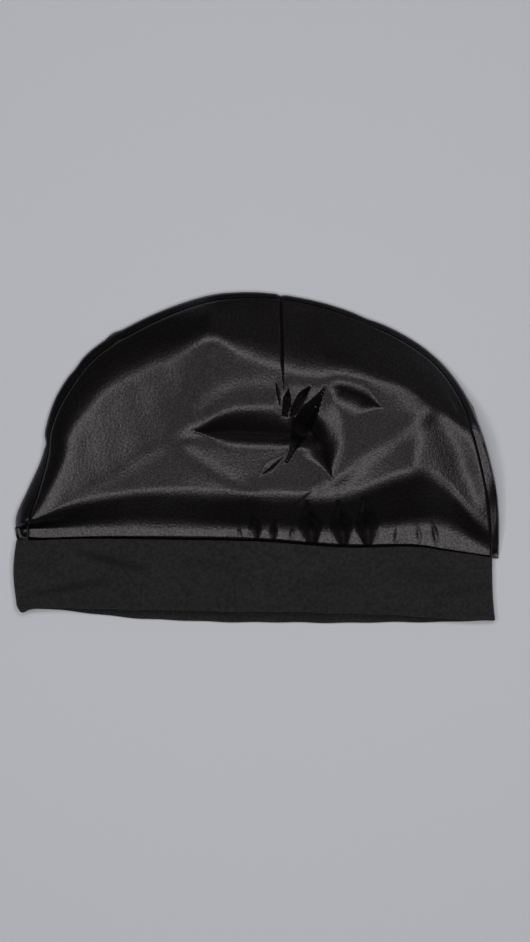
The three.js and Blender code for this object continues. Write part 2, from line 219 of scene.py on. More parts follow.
# How much each face is lowered, and its corners. A face lies flat between them. Neighbours that
# are lowered by another amount meet it at a small step, which the easing turns into a soft crease.
FACES = [
    (0, "left corner,out left,out upper left,peak,fan"),
    (0, "out upper left,out top,peak"),
    (0, "left corner,low left,out left"),
    (0, "fan,peak,inner low"),
    (1.0, "left corner,fan,lap foot,low bend,low mid,low mid left,low left"),
    (1.4, "fan,inner low,arch 0"),
    (1.4, "inner low,arch 1,arch 0"),
    (1.4, "inner low,peak,brow 1,arch 2,arch 1"),
    (1.4, "brow 1,arch 3,arch 2"),
    (1.4, "brow 1,brow 2,dart tip,arch 3"),
    (0.4, "fan,arch 0,hollow tip"),
    (0.4, "arch 0,arch 1,wall 1,hollow tip"),
    (0.4, "arch 1,arch 2,wall 2,wall 1"),
    (0.4, "arch 2,arch 3,wall 3,wall 2"),
    (0.4, "arch 3,dart tip,wall 3"),
    (1.6, "hollow tip,wall 1,wall 2,hollow middle"),
    (1.6, "wall 2,wall 3,hollow end,hollow middle"),
    (2.8, "fan,hollow tip,lap foot"),
    (2.8, "hollow tip,hollow middle,lap foot"),
    (2.8, "hollow middle,fold foot,lap foot"),
    (2.8, "hollow middle,hollow end,fold low,fold foot"),
    (2.8, "lap foot,fold foot,low bend"),
    (2.8, "fold foot,low middle,low bend"),
    (2.8, "fold low,low middle,fold foot"),
    (2.8, "dart tip,fold head,fold middle,wall 3"),
    (2.8, "wall 3,fold middle,fold low,hollow end"),
    (1.5, "dart tip,brow 3,fold head"),
    (1.5, "brow 2,brow 3,dart tip"),
    (1.5, "brow 3,brow 4,fold head"),
    (1.5, "fold head,brow 4,pocket top"),
    (2.8, "fold head,pocket top,fold middle"),
    (2.8, "fold middle,pocket top,pocket side,fold low"),
    (2.8, "fold low,pocket side,low right bend,low middle"),
    (1.5, "pocket top,brow 4,brow 5,rise 2,pocket side"),
    (1.5, "pocket side,rise 2,rise 1,low right bend"),
    (1.5, "brow 5,brow 6,rise 3,rise 2"),
    (1.5, "brow 6,brow 7,rise 4,rise 3"),
    (1.4, "out top,out upper right,brow 2,brow 1,peak"),
    (1.5, "out upper right,brow 4,brow 3,brow 2"),
    (1.5, "out upper right,brow 5,brow 4"),
    (1.5, "out upper right,out right,brow 6,brow 5"),
    (1.5, "out right,brow 7,brow 6"),
    (1.5, "out right,rise 4,brow 7"),
    (1.5, "out right,out far right,right out,rise 4"),
    (2.6, "low bend,low middle,low mid"),
    (2.6, "low middle,low right bend,low mid right,low mid"),
    (3.3, "low right bend,rise 1,right low,low mid right"),
    (3.3, "rise 1,rise 2,right low"),
    (3.3, "rise 2,rise 3,right low"),
    (3.3, "rise 3,rise 4,right out,right low"),
    (3.3, "right out,right foot,right low"),
    (1.5, "right out,out far right,right foot"),
    (3.3, "right low,right foot,low right,low mid right"),
    (3.3, "right foot,out far right,out low right,low right"),
]

# Hollows, creases and gathers pressed into the top, each along a curve from (x1, y1) towards
# (x2, y2) and on to (x3, y3). depth: of its line, half way along. left, right: width of the wall on
# either side of the way from 1 to 3. power: 1 is a straight wall, more is a hollow one. start, end:
# share of the depth at its two ends. ease: how far it is eased, where 0 is a sharp crease.
CREASE_COLUMNS = (
    "x1", "y1", "x2", "y2", "x3", "y3",
    "depth", "left", "right", "power", "start", "end", "ease",
)
CREASES = [
    ("long hollow", -37, 14.5, -14, 13, 26, 11.5, 5.2, 19, 9, 2.3, 0, 0.85, 0),
    ("fold", 37, 38, 29, 20, 16.5, -2, 5.2, 2.9, 8.4, 1.1, 0.15, 0.22, 0),
    ("fold tail", 14.5, 1, 8, -3.5, 0, -11.5, 1.1, 2.6, 3.2, 1.2, 0.3, 0, 0),
    ("pocket", 27, 17, 34, 10, 40, -11, 5.2, 14, 14, 2.5, 1, 0.1, 0),
    ("small hollow", 44.5, 36.3, 53, 34.5, 70, 26, 3.3, 11, 14, 2.4, 1, 0, 0),
    ("dart", 12.7, 90, 13.2, 62, 14.6, 37, 1.1, 1.4, 1.5, 1.2, 0.8, 0.3, 0),
    ("pucker 1", 10.2, 41.5, 11.8, 36, 12.9, 29, 0.9, 1.3, 1.5, 1.2, 0.3, 0.6, 0),
    ("pucker 2", 17.3, 37, 16.8, 32, 16, 24, 2.3, 2.2, 2.4, 1.2, 0.2, 1, 0),
    ("pucker 3", 29.5, 39, 24.5, 33, 20, 24, 2.7, 2, 3, 1.2, 0.2, 1, 0),
    ("side crease", 103.5, 36, 110, 26, 116.6, 12.5, 0.6, 2.5, 2.5, 1.5, 0.2, 0.2, 0.6),
    ("gather 1", -3, -31, 0.4, -38, 0.2, -47, 1.9, 3.6, 4.6, 1.3, 0.3, 0.2, 0),
    ("gather 2", 10, -34, 9, -41, 9, -48, 1.2, 2.6, 3.2, 1.3, 0.3, 0.2, 0),
    ("gather 3", 27, -24, 30, -38, 31, -52, 4.0, 6.4, 7.4, 1.35, 0.2, 0.2, 0),
    ("gather 4", 44, -24, 47, -37, 48, -53, 3.8, 6.2, 7.4, 1.35, 0.2, 0.2, 0),
    ("gather 5", 58, -22, 60.5, -37, 60.8, -53, 4.2, 7.4, 6.8, 1.35, 0.2, 0.2, 0),
    ("gather 6", -10, -37, -9, -42, -9, -46, 0.7, 1.6, 2.0, 1.3, 0.3, 0.4, 0.35),
    ("gather 7", 20, -37, 19, -42, 19, -47, 0.7, 1.6, 2.0, 1.3, 0.3, 0.4, 0.35),
    ("gather 8", 87, -36, 89, -42, 89, -49, 0.8, 2.0, 1.8, 1.3, 0.3, 0.4, 0.35),
    ("gather 9", 95, -35, 98, -42, 98, -50, 1.0, 2.6, 1.8, 1.3, 0.3, 0.4, 0.35),
    ("gather 10", 76, -38, 76, -43, 76, -49, 0.6, 2.2, 1.8, 1.3, 0.3, 0.4, 0.35),
]


def rows_at(rows, t):
    """A table's numbers at each t, 0 at its first row and 1 at its last, on a smooth curve."""
    numbers = np.array([row[1:] for row in rows], float)
    last = len(numbers) - 1
    at = np.clip(t, 0, 1) * last
    i = np.minimum(at.astype(int), last - 1)
    f = (at - i)[:, None]
    a, b, c, d = (numbers[np.clip(i + k, 0, last)] for k in (-1, 0, 1, 2))
    rise = c - b
    bend = 3 * rise - (c - a) - (d - b) / 2
    twist = (c - a + d - b) / 2 - 2 * rise
    return b + f * ((c - a) / 2 + f * (bend + f * twist))


def smooth(t):
    """From 0 to 1, level at both ends."""
    t = np.clip(t, 0, 1)
    return t * t * (3 - 2 * t)


def mix(a, b, t):
    return a + (b - a) * t


def lower_of(a, b, ease):
    """The lower of two heights, with the corner between them eased."""
    near = np.clip(ease - np.abs(a - b), 0, None) / ease
    return np.minimum(a, b) - near * near * ease / 4


def higher_of(a, b, ease):
    return -lower_of(-a, -b, ease)


EDGE_LINE = rows_at(EDGE, np.linspace(0, 1, EDGE_STEPS + 1))
BAND_LINE = rows_at(BAND, np.linspace(0, 1, BAND_STEPS + 1))
BAND_LEFT, BAND_RIGHT = BAND[0][1], BAND[-1][1]


def band_at(x):
    """The band's columns at each x."""
    line = BAND_LINE.T
    return {name: np.interp(x, line[0], line[k]) for k, name in enumerate(BAND_COLUMNS)}


def band_height(x):
    """Height of the band's front layer."""
    across = np.clip((x - BAND_LEFT) / (BAND_RIGHT - BAND_LEFT), 0, 1)
    return mix(FOLD_RISE, MOUTH_RISE, np.sin(np.pi * across) ** MOUTH_POWER)


def band_ripple(x, y):
    """How far the ripples lower the band's front layer, as a number below 0."""
    total = 0 * x
    for ripple in RIPPLES:
        r = dict(zip(RIPPLE_COLUMNS, ripple))
        across, down = r["x2"] - r["x1"], r["y2"] - r["y1"]
        along = ((x - r["x1"]) * across + (y - r["y1"]) * down) / (across**2 + down**2)
        middle = np.clip(along, 0, 1)
        away = np.hypot(x - mix(r["x1"], r["x2"], middle), y - mix(r["y1"], r["y2"], middle))
        groove = np.clip(1 - away / r["width"], 0, 1) ** RIPPLE_POWER
        rise = np.clip(mix(RIPPLE_END, 1 - RIPPLE_END, along), 0, 1)
        total = total - r["depth"] * groove * np.sin(np.pi * rise)
    return total


def nearest_on(line, x, y):
    """For each place: its distance to a line of points, how far along the line that is, as a share,
    and how far it lies to the line's left."""
    best = np.full(x.shape, 1e9)
    along = np.zeros(x.shape)
    side = np.zeros(x.shape)
    last = len(line) - 1
    for k in range(last):
        a, ab = line[k], line[k + 1] - line[k]
        s = np.clip(((x - a[0]) * ab[0] + (y - a[1]) * ab[1]) / (ab @ ab), 0, 1)
        dx, dy = x - a[0] - s * ab[0], y - a[1] - s * ab[1]
        away = np.hypot(dx, dy)
        hit = away < best
        best = np.where(hit, away, best)
        along = np.where(hit, (k + s) / last, along)
        side = np.where(hit, (ab[0] * dy - ab[1] * dx) / np.sqrt(ab @ ab), side)
    return best, along, side


def crease_line(crease):
    """The points that a crease passes through."""
    c = dict(zip(CREASE_COLUMNS, crease[1:]))
    t = np.linspace(0, 1, CREASE_STEPS + 1)[:, None]
    a, b, d = (np.array((c[f"x{k}"], c[f"y{k}"]), float) for k in (1, 2, 3))
    return (1 - t) ** 2 * a + 2 * t * (1 - t) * b + t * t * d


def crease_share(crease, along):
    """The share of a crease's depth that it has at each place along it."""
    c = dict(zip(CREASE_COLUMNS, crease[1:]))
    first_half = mix(c["start"], 1, smooth(along * 2))
    return np.where(along < 0.5, first_half, mix(1, c["end"], smooth(along * 2 - 1)))


def crease_depth(x, y, crease):
    """How deep a crease is at each place."""
    c = dict(zip(CREASE_COLUMNS, crease[1:]))
    away, along, side = nearest_on(crease_line(crease), x, y)
    share = crease_share(crease, along)
    # Round an end, the wall passes gradually from its width on one side to that on the other.
    turn = smooth(side / np.maximum(away, 1e-6) / 2 + 0.5)
    wall = mix(c["right"], c["left"], turn) * np.maximum(share, LEAST_WALL)
    return c["depth"] * share * (1 - np.clip(away / wall, 0, 1)) ** c["power"]


def eased(field, radius):
    """A grid of heights with its corners rounded off."""
    reach = int(math.ceil(3 * radius / PITCH))
    weights = np.exp(-0.5 * (np.arange(-reach, reach + 1) * PITCH / radius) ** 2)
    weights /= weights.sum()
    for axis in (0, 1):
        margins = [(reach, reach) if k == axis else (0, 0) for k in (0, 1)]
        padded = np.pad(field, margins, mode="edge")
        moved = np.moveaxis(padded, axis, 0)
        total = sum(w * moved[k : k + field.shape[axis]] for k, w in enumerate(weights))
        field = np.moveaxis(total, 0, axis)
    return field


def faces_field(x, y):
    """How far below the highest part the flat faces lie."""
    field = np.full(x.shape, NO_FACE)
    for drop, names in FACES:
        a, *others = (np.array(CORNERS[name], float) for name in names.split(","))
        for b, c in zip(others, others[1:]):
            area = (b[0] - a[0]) * (c[1] - a[1]) - (b[1] - a[1]) * (c[0] - a[0])
            wb = ((x - a[0]) * (c[1] - a[1]) - (y - a[1]) * (c[0] - a[0])) / area
            wc = ((b[0] - a[0]) * (y - a[1]) - (b[1] - a[1]) * (x - a[0])) / area
            hit = (wb >= 0) & (wc >= 0) & (wb + wc <= 1)
            below = a[2] + wb * (b[2] - a[2]) + wc * (c[2] - a[2])
            field = np.where(hit, below + drop, field)
    return field


def undulation(x, y):
    """Slow waves that cloth never loses."""
    chance = random.Random(SEED)
    waves = 0 * x
    for _ in range(WAVES):
        length = chance.uniform(*WAVE_LENGTHS)
        turn = chance.uniform(0, math.pi)
        start = chance.uniform(0, 2 * math.pi)
        along = (x * math.cos(turn) + y * math.sin(turn)) * 2 * math.pi / length + start
        waves = waves + WAVE_TILT * length * np.sin(along)
    return waves


def sampled(field, x, y):
    """A grid's value at each place."""
    fx = np.clip((x - GRID_X[0]) / PITCH, 0, len(GRID_X) - 1.001)
    fy = np.clip((y - GRID_Y[0]) / PITCH, 0, len(GRID_Y) - 1.001)
    i, j = fx.astype(int), fy.astype(int)
    u, v = fx - i, fy - j
    low = field[j, i] * (1 - u) + field[j, i + 1] * u
    high = field[j + 1, i] * (1 - u) + field[j + 1, i + 1] * u
    return low * (1 - v) + high * v


def leaning(past, lean):
    """How much a leaning strip has fallen where its start has been passed by so much."""
    fall = past * lean
    return higher_of(fall, 0 * fall, SHOULDER_EASE)


def crown_field():
    """The crown's height on the grid, without its sharp creases: the lowest of its flat faces, the
    slope up from its edge and the slope up from the band."""
    x, y = np.meshgrid(GRID_X, GRID_Y)
    away, along, _ = nearest_on(EDGE_LINE[:, :2], x, y)
    steps = np.linspace(0, 1, EDGE_STEPS + 1)
    edge = {name: np.interp(along, steps, EDGE_LINE[:, k]) for k, name in enumerate(EDGE_COLUMNS)}
    under = eased(faces_field(x, y), SOFT)
    top = TOP - under
    crest = np.maximum(top, LEAST_CREST) - SHOULDER * edge["lean"]
    climb = (crest - EDGE_RISE - ROLL - edge["lift"]) / (edge["reach"] - SHOULDER / 2)
    top = top - leaning(edge["reach"] + SHOULDER / 2 - away, edge["lean"])
    rounded = np.clip(away / (ROLL + LIFTED_ROLL * edge["lift"]), 0, 1)
    start = EDGE_RISE + (ROLL + edge["lift"]) * np.sqrt(1 - (1 - rounded) ** 2)
    height = lower_of(start + climb * away, top, edge["ease"] * climb)

    row = band_at(x)
    foot = band_height(x) - SATIN_BELOW
    up = y - row["seam"]
    height = height - leaning(row["crest"] + SHOULDER / 2 - y, row["lean"])
    crest = TOP - sampled(under, x, row["crest"]) - SHOULDER * row["lean"]
    stretch = row["crest"] - SHOULDER / 2 - row["seam"] - row["strip"]
    climb = (crest - foot) / np.maximum(stretch, LEAST_CLIMB)
    low = foot + higher_of(STRIP_SLOPE * up, climb * (up - row["strip"]), STRIP_EASE)
    height = lower_of(height, low, row["ease"] * climb)
    for crease in CREASES:
        if crease[-1]:
            height = height - eased(crease_depth(x, y, crease), crease[-1])
    return height + undulation(x, y)


# ---- meshes ----
FRONT_GRID = (432, 198)  # squares across and up the front panel
BACK_GRID = (520, 22, 24)  # squares along the back panel, over its roll, on its underside
BAND_GRID = (250, 14, 40, 10, 24)  # along a layer, round a fold, down the outside, hem, inside
UNDER_COARSE = 3  # the front panel's underside has one point for this many on top
SHARP = 27  # degrees: a crease sharper than this keeps its edge
SATIN_WALL = 0.7
JERSEY_WALL = 1.7  # of two layers of jersey
GATHER = 0.34  # points of the front panel nearer than this to a sharp crease are moved onto it
LEFT_TURN = 3.4 / (len(EDGE) - 1)  # places on the edge where the front panel's sides meet its top
RIGHT_TURN = 15.2 / (len(EDGE) - 1)
FEET_POWER = 8  # how near its two feet the front panel's lower rim leaves the band's seam for them
TUCK = 1.6  # how far the satin runs in under the band, and how far down
TUCK_SHARES = (1, 0.4)  # of that for the rows of points nearest the band
DART_EXTRA = 22  # columns of points that the front panel has more, along the dart
DART_X = 13.4
DART_HALF = 0.016  # half the width that they take up, as a share of the panel
DART_LEVEL = 0.8  # share of the way up the panel where the dart's place is looked up
TURN_WIDE = 1.7  # strip along the edge seam where the satin turns down into it, and how deep
TURN_DEEP = 0.9
ROLL_DROP = 0.25  # how much lower than the front panel the rolled edge lies
ROLL_START = 0.6  # distance from the outermost line over which it comes up to that
UNDER_REACH = 7.0  # how far inside the outermost line the back panel comes to lie flat
UNDER_CORNER = 28.0  # from the band's folds to the back panel's lower corners
END_SHARE = 0.016  # stretch at each end of the roll where it sinks in under the band
END_FALL = 0.9  # share of its height that it loses there
END_TUCK = 0.85  # share of TUCK that it gets
END_ROWS = 3  # rows of points beyond the roll over which the tuck runs out
LEFT_INSET = 0.5  # of the band's folds, inside the table's first and last x
LEFT_BOW = 1.7  # how far the left fold bows out half way down
RIGHT_INSET = 0.6
RIGHT_FLARE = 1.6  # how far the right fold flares out at the hem
HEM_WAVE = 0.16  # depth of the waves along the hem, then the length and start of each
HEM_WAVES = ((9.3, 0), (4.1, 2))
HEM_DIP = 0.5  # groove along the hem, then its place and width as shares of the band's depth
HEM_AT = 0.945
HEM_WIDE = 0.02
RIPPLE_FULL_SHADE = 2.6  # depth of a ripple at which the shade painted into its groove is darkest
CLOTH_ROUND = 0.52  # stretch of knitted pattern round the band, then down it, in metres
CLOTH_DEEP = 0.04

CROWN = crown_field()
SHARP_CREASES = [crease for crease in CREASES if not crease[-1]]


def edge_at(t):
    """The edge's columns at each share of the way round."""
    return dict(zip(EDGE_COLUMNS, rows_at(EDGE, t).T))


def outward_at(t):
    """The way out of the crown, square to its edge."""
    step = 1e-3
    before, after = rows_at(EDGE, t - step), rows_at(EDGE, t + step)
    out = np.stack([before[:, 1] - after[:, 1], after[:, 0] - before[:, 0]], 1)
    return out / np.linalg.norm(out, axis=1)[:, None]


def seam_at(t, inside=0.0):
    """The edge seam, or a line so far inside it."""
    row = edge_at(t)
    return np.stack([row["x"], row["y"]], 1) - outward_at(t) * (row["tuck"] + inside)[:, None]


SEAM_LINE = seam_at(np.linspace(0, 1, SEAM_STEPS + 1))


def crown_height(x, y):
    """The crown's height with its sharp creases."""
    height = sampled(CROWN, x, y)
    for crease in SHARP_CREASES:
        height = height - crease_depth(x, y, crease)
    return height


def gathered(plan):
    """The grid with the points close to a sharp crease moved onto it, and which those are."""
    plan = plan.copy()
    on = np.zeros(plan.shape[:2], bool)
    for crease in SHARP_CREASES:
        line = crease_line(crease)
        away, along, _ = nearest_on(line, plan[..., 0], plan[..., 1])
        near = (away < GATHER) & (along > CREASE_TIP) & (along < 1 - CREASE_TIP) & ~on
        for k in (0, 1):
            moved = np.interp(along, np.linspace(0, 1, len(line)), line[:, k])
            plan[..., k] = np.where(near, moved, plan[..., k])
        on |= near
    return plan, on


def grid_normals(points):
    """Normals of a grid of points, from their neighbours."""
    normal = np.cross(np.gradient(points, axis=0), np.gradient(points, axis=1))
    return normal / np.maximum(np.linalg.norm(normal, axis=2, keepdims=True), 1e-12)


def grid_faces(across, deep, closed=False):
    """Squares between the points of a grid, which may close on itself both ways."""
    columns, rows = (np.arange(size if closed else size - 1) for size in (across, deep))
    i, j = np.meshgrid(columns, rows, indexing="ij")
    a, b = i * deep + j, ((i + 1) % across) * deep + j
    c, d = ((i + 1) % across) * deep + (j + 1) % deep, i * deep + (j + 1) % deep
    return np.stack([a, b, c, d], -1).reshape(-1, 4)


def make_mesh(name, points, faces, uv, sharp=0):
    """A mesh object from points in millimetres and a list of faces. uv: each point's place on the
    cloth, in metres."""
    mesh = bpy.data.meshes.new(name)
    mesh.from_pydata((points * MM).tolist(), [], faces)
    layer = mesh.uv_layers.new(name="cloth")
    corner = np.empty(len(mesh.loops), dtype=np.int32)
    mesh.loops.foreach_get("vertex_index", corner)
    layer.data.foreach_set("uv", uv[corner].astype(np.float32).ravel())
    mesh.shade_smooth()
    if sharp:
        mesh.set_sharp_from_angle(angle=math.radians(sharp))
    mesh.update()
    piece = bpy.data.objects.new(name, mesh)
    SCENE.collection.objects.link(piece)
    return piece


def split_along(squares, on):
    """Squares as a list, cut in two where a sharp crease crosses them from corner to corner."""
    if on is None:
        return squares.tolist()
    a, b, c, d = squares.T
    mark = on.ravel()
    first = mark[a] & mark[c]
    second = mark[b] & mark[d] & ~first
    whole = squares[~first & ~second].tolist()
    halves = ((first, (0, 1, 2)), (first, (0, 2, 3)), (second, (1, 2, 3)), (second, (1, 3, 0)))
    return whole + np.concatenate([squares[cut][:, half] for cut, half in halves]).tolist()


def lowest(height, reach):
    """The lowest height within reach of each point of a grid."""
    padded = np.pad(height, reach, mode="edge")
    width, depth = height.shape
    steps = range(2 * reach + 1)
    return np.min([padded[i : i + width, j : j + depth] for i in steps for j in steps], axis=0)


def shell(name, outer, thickness, uv, coarse=1, on=None):
    """A closed wall under a grid of points. Its underside may have one point for every few on top,
    and then lies under the lowest of them. on: which points are on a sharp crease."""
    inner = outer - grid_normals(outer) * thickness
    if coarse > 1:
        under = lowest(outer[..., 2], coarse) - thickness
        inner[coarse:-coarse, coarse:-coarse, 2] = under[coarse:-coarse, coarse:-coarse]
    inner, inner_uv = inner[::coarse, ::coarse], uv[::coarse, ::coarse]
    top = np.arange(outer.shape[0] * outer.shape[1]).reshape(outer.shape[:2])
    low = top.size + np.arange(inner.shape[0] * inner.shape[1]).reshape(inner.shape[:2])
    faces = split_along(grid_faces(*outer.shape[:2]), on)
    faces += (grid_faces(*inner.shape[:2])[:, ::-1] + top.size).tolist()
    for side in ((slice(None), 0), (slice(None, None, -1), -1), (0, slice(None, None, -1)), (-1,)):
        edge, rim = top[side], low[side]
        for k in range(len(rim) - 1):
            stretch = edge[k * coarse : (k + 1) * coarse + 1][::-1]
            faces.append([*stretch.tolist(), int(rim[k]), int(rim[k + 1])])
    points = np.concatenate([outer.reshape(-1, 3), inner.reshape(-1, 3)])
    places = np.concatenate([uv.reshape(-1, 2), inner_uv.reshape(-1, 2)])
    return make_mesh(name, points, faces, places, SHARP)


def front_plan(s, v):
    """The front panel from above, a patch with four sides: the band's seam, a stretch of the edge
    seam up each side, and the rest of the edge seam over the top."""
    feet = seam_at(np.array([0.0, 1.0]), SEAM_GAP)
    x = mix(feet[0, 0], feet[1, 0], s)
    y = mix(band_at(x)["seam"], mix(feet[0, 1], feet[1, 1], s), (2 * s - 1) ** FEET_POWER)
    bottom = np.stack([x, y], 1)[:, None]
    top = seam_at(mix(LEFT_TURN, RIGHT_TURN, s), SEAM_GAP)[:, None]
    left = seam_at(LEFT_TURN * v, SEAM_GAP)[None]
    right = seam_at(mix(1, RIGHT_TURN, v), SEAM_GAP)[None]
    s, v = s[:, None, None], v[None, :, None]
    plan = bottom * (1 - v) + top * v + left * (1 - s) + right * s
    plan -= (1 - s) * (1 - v) * feet[0] + s * (1 - v) * feet[1]
    return plan - (1 - s) * v * top[0, 0] - s * v * top[-1, 0]


def tuck_in(points, share, down):
    """Runs the cloth a little way in under the band where share is 1, and lowers it there."""
    points[..., 1] -= share * TUCK
    points[..., 2] -= share * down


def crown_front():
    """The satin panel that shows."""
    across, up = FRONT_GRID
    s = np.linspace(0, 1, across - DART_EXTRA + 1)
    guide = front_plan(s, np.array([DART_LEVEL]))[:, 0, 0]
    dart = np.interp(DART_X, guide, s)
    s = np.sort(np.append(s, dart + np.linspace(-DART_HALF, DART_HALF, DART_EXTRA)))
    v = np.linspace(0, 1, up + 1)
    plan, on = gathered(front_plan(s, v))
    z = crown_height(plan[..., 0], plan[..., 1])
    away, _, _ = nearest_on(SEAM_LINE, plan[..., 0], plan[..., 1])
    turned = 1 - np.clip(away / TURN_WIDE, 0, 1)
    points = np.dstack([plan, z - TURN_DEEP * turned**2])
    share = np.zeros(len(v))
    share[: len(TUCK_SHARES)] = TUCK_SHARES
    tuck_in(points, share[None], TUCK)
    return shell("satin_front", points, SATIN_WALL, plan * MM, UNDER_COARSE, on)


def crown_back():
    """The satin panel underneath, which rolls up round the edge as far as the seam."""
    along, roll, under = BACK_GRID
    t = np.linspace(0, 1, along + 1)
    row = edge_at(t)
    out = outward_at(t)
    plan = np.stack([row["x"], row["y"]], 1)
    for nick in NICKS:
        n = dict(zip(NICK_COLUMNS, nick))
        away = np.hypot(plan[:, 0] - n["x"], plan[:, 1] - n["y"])
        near = np.exp(-((away / n["width"]) ** 2))
        plan = plan - out * (n["depth"] * near)[:, None]
    rows = []
    for j in range(roll + 1):
        turn = mix(-math.pi / 2, math.pi / 2, j / roll)
        reach = row["tuck"] if turn < 0 else np.full(len(t), UNDER_REACH)
        inward = reach * (1 - math.cos(turn))
        place = plan - out * inward[:, None]
        if turn < 0:
            front = crown_height(place[:, 0], place[:, 1]) - ROLL_DROP
            z = mix(EDGE_RISE, front, smooth(inward / ROLL_START))
        else:
            z = np.full(len(t), mix(SATIN_WALL, EDGE_RISE, 1 - math.sin(turn)))
        rows.append(np.column_stack([place, z]))
    landing = plan - out * UNDER_REACH
    foot_x = mix(BAND_LEFT + UNDER_CORNER, BAND_RIGHT - UNDER_CORNER, t)
    foot = np.stack([foot_x, band_at(foot_x)["seam"]], 1)
    ending = 1 - smooth(np.minimum(t, 1 - t) / END_SHARE)
    for line in rows:
        line[:, 2] = SATIN_WALL + (line[:, 2] - SATIN_WALL) * (1 - END_FALL * ending)
    for j in range(1, under + 1):
        place = mix(landing, foot, j / under)
        rows.append(np.column_stack([place, np.full(len(t), SATIN_WALL)]))
    points = np.stack(rows, 1)
    uv = points[..., :2] * MM
    level = 1 - smooth((np.arange(points.shape[1]) - roll) / END_ROWS)
    tuck_in(points, END_TUCK * ending[:, None] * level[None], 0)
    return shell("satin_back", points, SATIN_WALL, uv)


def band_section(left, right):
    """One row of points round the band's outside, from the left end of its front layer: x, height,
    how much each belongs to the front layer, and the two parts of the way it faces."""
    layer, fold = BAND_GRID[:2]
    radius = FOLD_RISE / 2
    places = [i / layer for i in range(layer + 1)]
    turns = [math.pi * i / fold for i in range(1, fold)]
    section = []
    for share in places:
        x = mix(left + radius, right - radius, share)
        section.append((x, band_height(x), 1, 0, 1))
    for turn in turns:
        sunk = (1 - math.cos(turn)) / 2
        x, z = right - radius + radius * math.sin(turn), mix(band_height(right - radius), 0, sunk)
        section.append((x, z, (1 + math.cos(turn)) / 2, math.sin(turn), math.cos(turn)))
    for share in places:
        section.append((mix(right - radius, left + radius, share), 0, 0, 0, -1))
    for turn in turns:
        risen = (1 - math.cos(turn)) / 2
        x, z = left + radius - radius * math.sin(turn), mix(0, band_height(left + radius), risen)
        section.append((x, z, risen, -math.sin(turn), -math.cos(turn)))
    return np.array(section).T


def band():
    """The loop of doubled jersey: two flat layers joined by a fold at each end."""
    _, _, down, hem, inside = BAND_GRID
    # Share of the way down, share of the wall's depth, and how far the hem's round stands out.
    profile = [(j / down, 0.0, 0.0) for j in range(down + 1)]
    for j in range(1, hem):
        turn = math.pi * j / hem
        profile.append((1.0, (1 - math.cos(turn)) / 2, math.sin(turn)))
    profile += [(1 - j / inside, 1.0, 0.0) for j in range(inside + 1)]
    rows, painted_shade = [], []
    for v, deep, bulge in profile:
        left = BAND_LEFT + LEFT_INSET - LEFT_BOW * math.sin(math.pi * v)
        right = BAND_RIGHT - RIGHT_INSET + RIGHT_FLARE * v**3
        x, z, front, nx, nz = band_section(left, right)
        row = band_at(x)
        hem_y = mix(row["back hem"], row["front hem"], front)
        hem_y = hem_y + HEM_WAVE * sum(np.sin(x / length + start) for length, start in HEM_WAVES)
        y = mix(row["seam"] - BAND_GAP, hem_y + JERSEY_WALL / 2, v) - bulge * JERSEY_WALL / 2
        dip = HEM_DIP * math.exp(-(((v - HEM_AT) / HEM_WIDE) ** 2))
        low = np.clip(2 * front - 1, 0, 1) * (band_ripple(x, y) - dip)
        inner = (x - nx * deep * JERSEY_WALL, y, z + low - nz * deep * JERSEY_WALL)
        rows.append(np.column_stack(inner))
        # Shade painted into the jersey's colour along the ripples: deeper ripples are darker.
        painted_shade.append(np.clip(-low / RIPPLE_FULL_SHADE, 0, 1))
    points = np.stack(rows, 1)
    around = len(points)
    faces = grid_faces(around, len(profile), closed=True)[:, ::-1].tolist()
    ways = np.linspace(0, CLOTH_ROUND, around), np.array([v for v, _, _ in profile]) * CLOTH_DEEP
    cloth = np.dstack(np.meshgrid(*ways, indexing="ij"))
    loop = make_mesh("band_loop", points.reshape(-1, 3), faces, cloth.reshape(-1, 2))
    # The painted ripple shade is kept as a point attribute, and it darkens the jersey's colour.
    layer = loop.data.attributes.new("painted_ripple_shade", "FLOAT", "POINT")
    layer.data.foreach_set("value", np.stack(painted_shade, 1).ravel().astype(np.float32))
    return loop


# ---- finishes ----
SATIN_TONE = (0.0026, 0.0021, 0.0024)
SATIN_TONES = ((0.0019, 0.0015, 0.0017), (0.0034, 0.0027, 0.0031))  # of its grain
SATIN_SHINES = ((0.52, 0.48, 0.505), (1.0, 0.93, 0.98))  # tints of its reflections
SATIN_ROUGH = 0.3
SPARKLE = 0.00006  # depths of the satin's grain and threads
THREAD = 0.00001
SPARKLE_CELLS = 820  # cells of noise to a metre, here and below
SHINE_CELLS = 1000
TONE_CELLS = 620
THREAD_CELLS = (420, 3600)  # along the threads and across them
JERSEY_TONE = (0.0155, 0.0155, 0.0158)
JERSEY_FINE = ((0.0078, 0.0077, 0.008), (0.0192, 0.0191, 0.0194))  # tones of its stitches
JERSEY_BROAD = ((0.86, 0.86, 0.88), (1.0, 0.99, 0.98))  # how those vary from place to place
JERSEY_PAINTED_SHADE = ((1, 1, 1), (0.42, 0.42, 0.42))  # and painted shade, from none on the flat band to darkest in a ripple's deepest groove
JERSEY_ROUGH = 0.9
WALE = 0.00035  # depths of the jersey's wales and fuzz
FUZZ = 0.0002
WALE_CELLS = (1300, 420)
FUZZ_CELLS = 1500
FINE_CELLS = 560
BROAD_CELLS = 45
SHEEN = 0.08
SHEEN_ROUGH = 0.5
FLOOR_TONE = (0.543, 0.549, 0.582)
FLOOR_ROUGH = 0.9
IOR = 1.5
GLOSSY = 0.5  # strength of a finish's reflections
DULL = 0.2
SPREAD = (0.3, 0.7)  # where on a noise's scale its first and its last tone lie
SHINE_SPREAD = (0.32, 0.68)
MIX_FACTOR, MIX_FIRST, MIX_SECOND, MIX_RESULT = 0, 6, 7, 2  # the Mix node's sockets for colours


